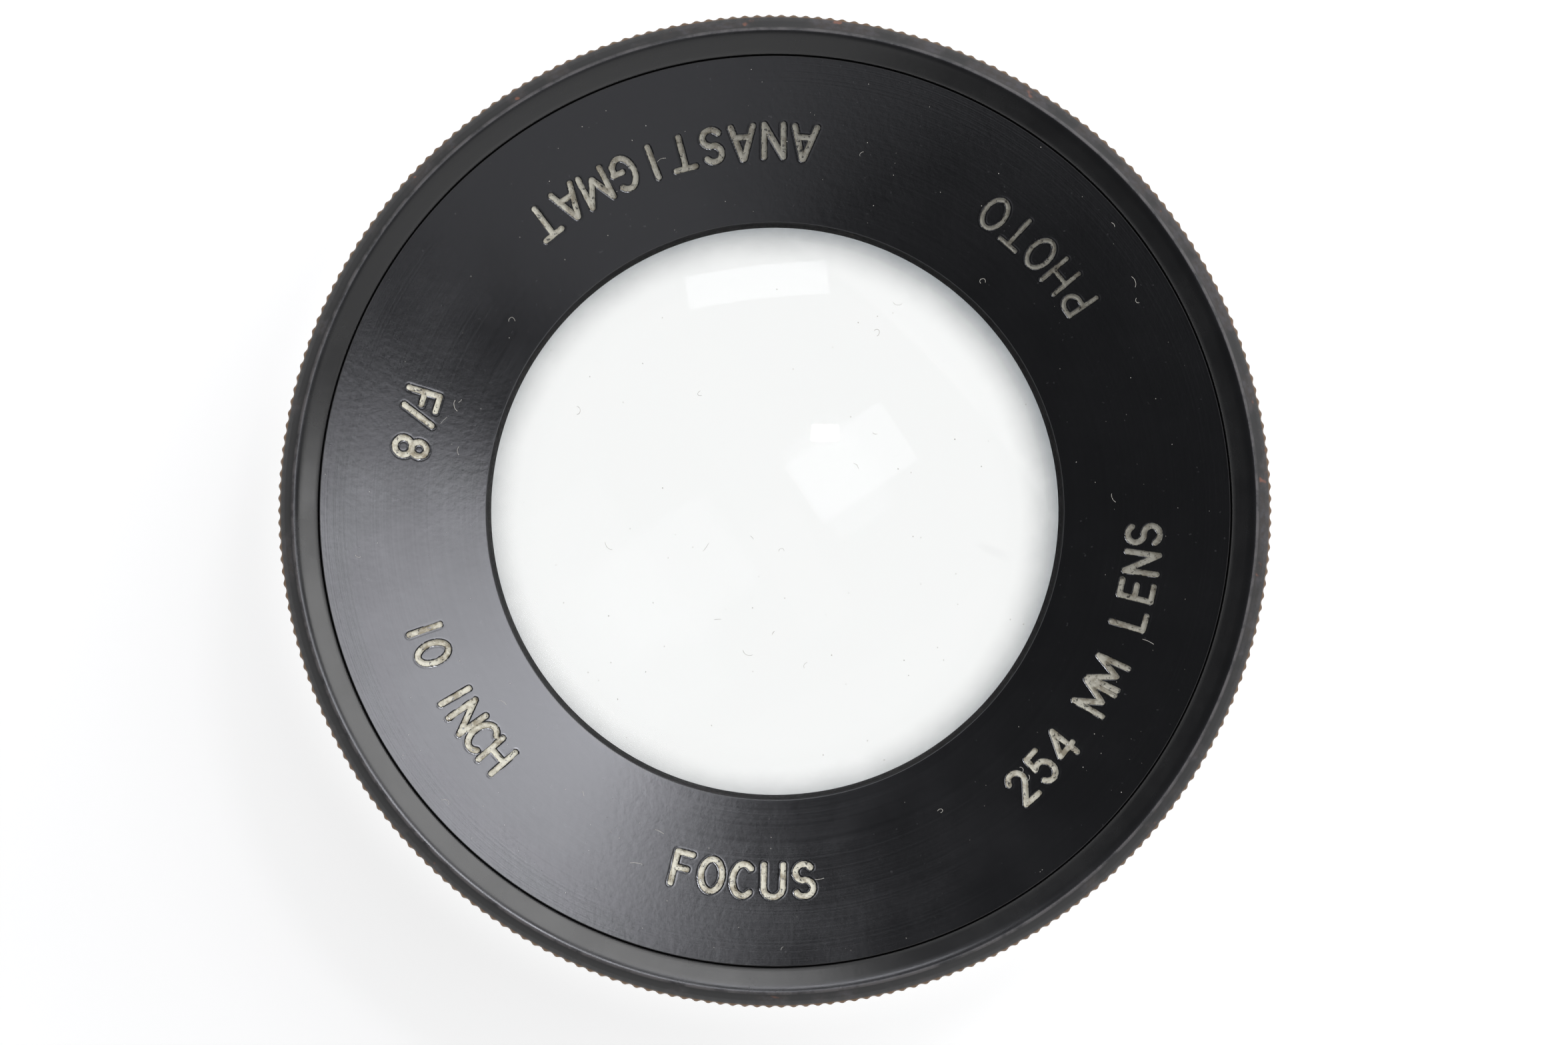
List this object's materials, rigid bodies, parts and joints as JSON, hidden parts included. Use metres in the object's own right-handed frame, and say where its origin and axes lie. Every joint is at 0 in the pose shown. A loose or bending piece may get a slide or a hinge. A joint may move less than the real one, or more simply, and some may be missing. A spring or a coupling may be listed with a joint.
{
  "type": "enlarger lens",
  "caption": "Barrel-mounted darkroom enlarging lens with a knurled iris setting ring, engraved face, iris diaphragm and a threaded rear with a lens board ring.",
  "frame": {"origin": "centre of the flat rear rim that the lens stands on, on the optical axis", "axes": "+Z along the optical axis towards the front glass; +X through the pivot of iris blade 01; the aperture index is on the -Y side"},
  "size_m": [0.062, 0.062, 0.042],
  "materials": {
    "black_lacquer": "satin black lacquer with a fine orange-peel, on turned brass",
    "worn_lacquer": "black lacquer worn to brown brass on the rim and on the knurl's crests",
    "flat_black": "matt anti-reflection black",
    "blade_steel": "blued spring steel, satin",
    "brass": "turned brass, dulled",
    "lens_glass": "polished, uncoated"
  },
  "bodies": {
    "barrel": {"barrel": "black_lacquer", "front_cell": "black_lacquer", "front_lens": "lens_glass", "middle_lens": "lens_glass", "middle_retaining_ring": "flat_black", "iris_base_plate": "flat_black", "iris_retaining_ring": "blade_steel", "rear_cell": "black_lacquer", "rear_crown_lens": "lens_glass", "rear_flint_lens": "lens_glass", "rear_retaining_ring": "flat_black"},
    "setting_ring": {"setting_ring": "worn_lacquer", "drive_screw": "brass", "iris_drive_ring": "brass"},
    "iris_blade_01": {"iris_blade_01": "blade_steel"},
    "iris_blade_02": {"iris_blade_02": "blade_steel"},
    "iris_blade_03": {"iris_blade_03": "blade_steel"},
    "iris_blade_04": {"iris_blade_04": "blade_steel"},
    "iris_blade_05": {"iris_blade_05": "blade_steel"},
    "iris_blade_06": {"iris_blade_06": "blade_steel"},
    "iris_blade_07": {"iris_blade_07": "blade_steel"},
    "iris_blade_08": {"iris_blade_08": "blade_steel"},
    "iris_blade_09": {"iris_blade_09": "blade_steel"},
    "iris_blade_10": {"iris_blade_10": "blade_steel"},
    "iris_blade_11": {"iris_blade_11": "blade_steel"},
    "iris_blade_12": {"iris_blade_12": "blade_steel"},
    "lens_board_ring": {"lens_board_ring": "black_lacquer"}
  },
  "joints": [
    {"name": "aperture_turn", "type": "hinge", "parent": "barrel", "child": "setting_ring", "pos_m": [0, 0, 0.035], "axis": [0, 0, 1], "range_deg": [0, 45]},
    {"name": "iris_blade_01_swing", "type": "hinge", "parent": "barrel", "child": "iris_blade_01", "pos_m": [0.0232, 0, 0.0206], "axis": [0, 0, 1], "range_deg": [0, 32.4]},
    {"name": "iris_blade_02_swing", "type": "hinge", "parent": "barrel", "child": "iris_blade_02", "pos_m": [0.02009, 0.0116, 0.0206], "axis": [0, 0, 1], "range_deg": [0, 32.4]},
    {"name": "iris_blade_03_swing", "type": "hinge", "parent": "barrel", "child": "iris_blade_03", "pos_m": [0.0116, 0.02009, 0.0206], "axis": [0, 0, 1], "range_deg": [0, 32.4]},
    {"name": "iris_blade_04_swing", "type": "hinge", "parent": "barrel", "child": "iris_blade_04", "pos_m": [0, 0.0232, 0.0206], "axis": [0, 0, 1], "range_deg": [0, 32.4]},
    {"name": "iris_blade_05_swing", "type": "hinge", "parent": "barrel", "child": "iris_blade_05", "pos_m": [-0.0116, 0.02009, 0.0206], "axis": [0, 0, 1], "range_deg": [0, 32.4]},
    {"name": "iris_blade_06_swing", "type": "hinge", "parent": "barrel", "child": "iris_blade_06", "pos_m": [-0.02009, 0.0116, 0.0206], "axis": [0, 0, 1], "range_deg": [0, 32.4]},
    {"name": "iris_blade_07_swing", "type": "hinge", "parent": "barrel", "child": "iris_blade_07", "pos_m": [-0.0232, 0, 0.0206], "axis": [0, 0, 1], "range_deg": [0, 32.4]},
    {"name": "iris_blade_08_swing", "type": "hinge", "parent": "barrel", "child": "iris_blade_08", "pos_m": [-0.02009, -0.0116, 0.0206], "axis": [0, 0, 1], "range_deg": [0, 32.4]},
    {"name": "iris_blade_09_swing", "type": "hinge", "parent": "barrel", "child": "iris_blade_09", "pos_m": [-0.0116, -0.02009, 0.0206], "axis": [0, 0, 1], "range_deg": [0, 32.4]},
    {"name": "iris_blade_10_swing", "type": "hinge", "parent": "barrel", "child": "iris_blade_10", "pos_m": [0, -0.0232, 0.0206], "axis": [0, 0, 1], "range_deg": [0, 32.4]},
    {"name": "iris_blade_11_swing", "type": "hinge", "parent": "barrel", "child": "iris_blade_11", "pos_m": [0.0116, -0.02009, 0.0206], "axis": [0, 0, 1], "range_deg": [0, 32.4]},
    {"name": "iris_blade_12_swing", "type": "hinge", "parent": "barrel", "child": "iris_blade_12", "pos_m": [0.02009, -0.0116, 0.0206], "axis": [0, 0, 1], "range_deg": [0, 32.4]},
    {"name": "board_ring_travel", "type": "slide", "parent": "barrel", "child": "lens_board_ring", "axis": [0, 0, 1], "range_m": [-0.0022, 0.0051]}
  ],
  "couplings": [
    {"joint": "iris_blade_01_swing", "follows": "aperture_turn", "ratio": 0.72},
    {"joint": "iris_blade_02_swing", "follows": "aperture_turn", "ratio": 0.72},
    {"joint": "iris_blade_03_swing", "follows": "aperture_turn", "ratio": 0.72},
    {"joint": "iris_blade_04_swing", "follows": "aperture_turn", "ratio": 0.72},
    {"joint": "iris_blade_05_swing", "follows": "aperture_turn", "ratio": 0.72},
    {"joint": "iris_blade_06_swing", "follows": "aperture_turn", "ratio": 0.72},
    {"joint": "iris_blade_07_swing", "follows": "aperture_turn", "ratio": 0.72},
    {"joint": "iris_blade_08_swing", "follows": "aperture_turn", "ratio": 0.72},
    {"joint": "iris_blade_09_swing", "follows": "aperture_turn", "ratio": 0.72},
    {"joint": "iris_blade_10_swing", "follows": "aperture_turn", "ratio": 0.72},
    {"joint": "iris_blade_11_swing", "follows": "aperture_turn", "ratio": 0.72},
    {"joint": "iris_blade_12_swing", "follows": "aperture_turn", "ratio": 0.72}
  ]
}
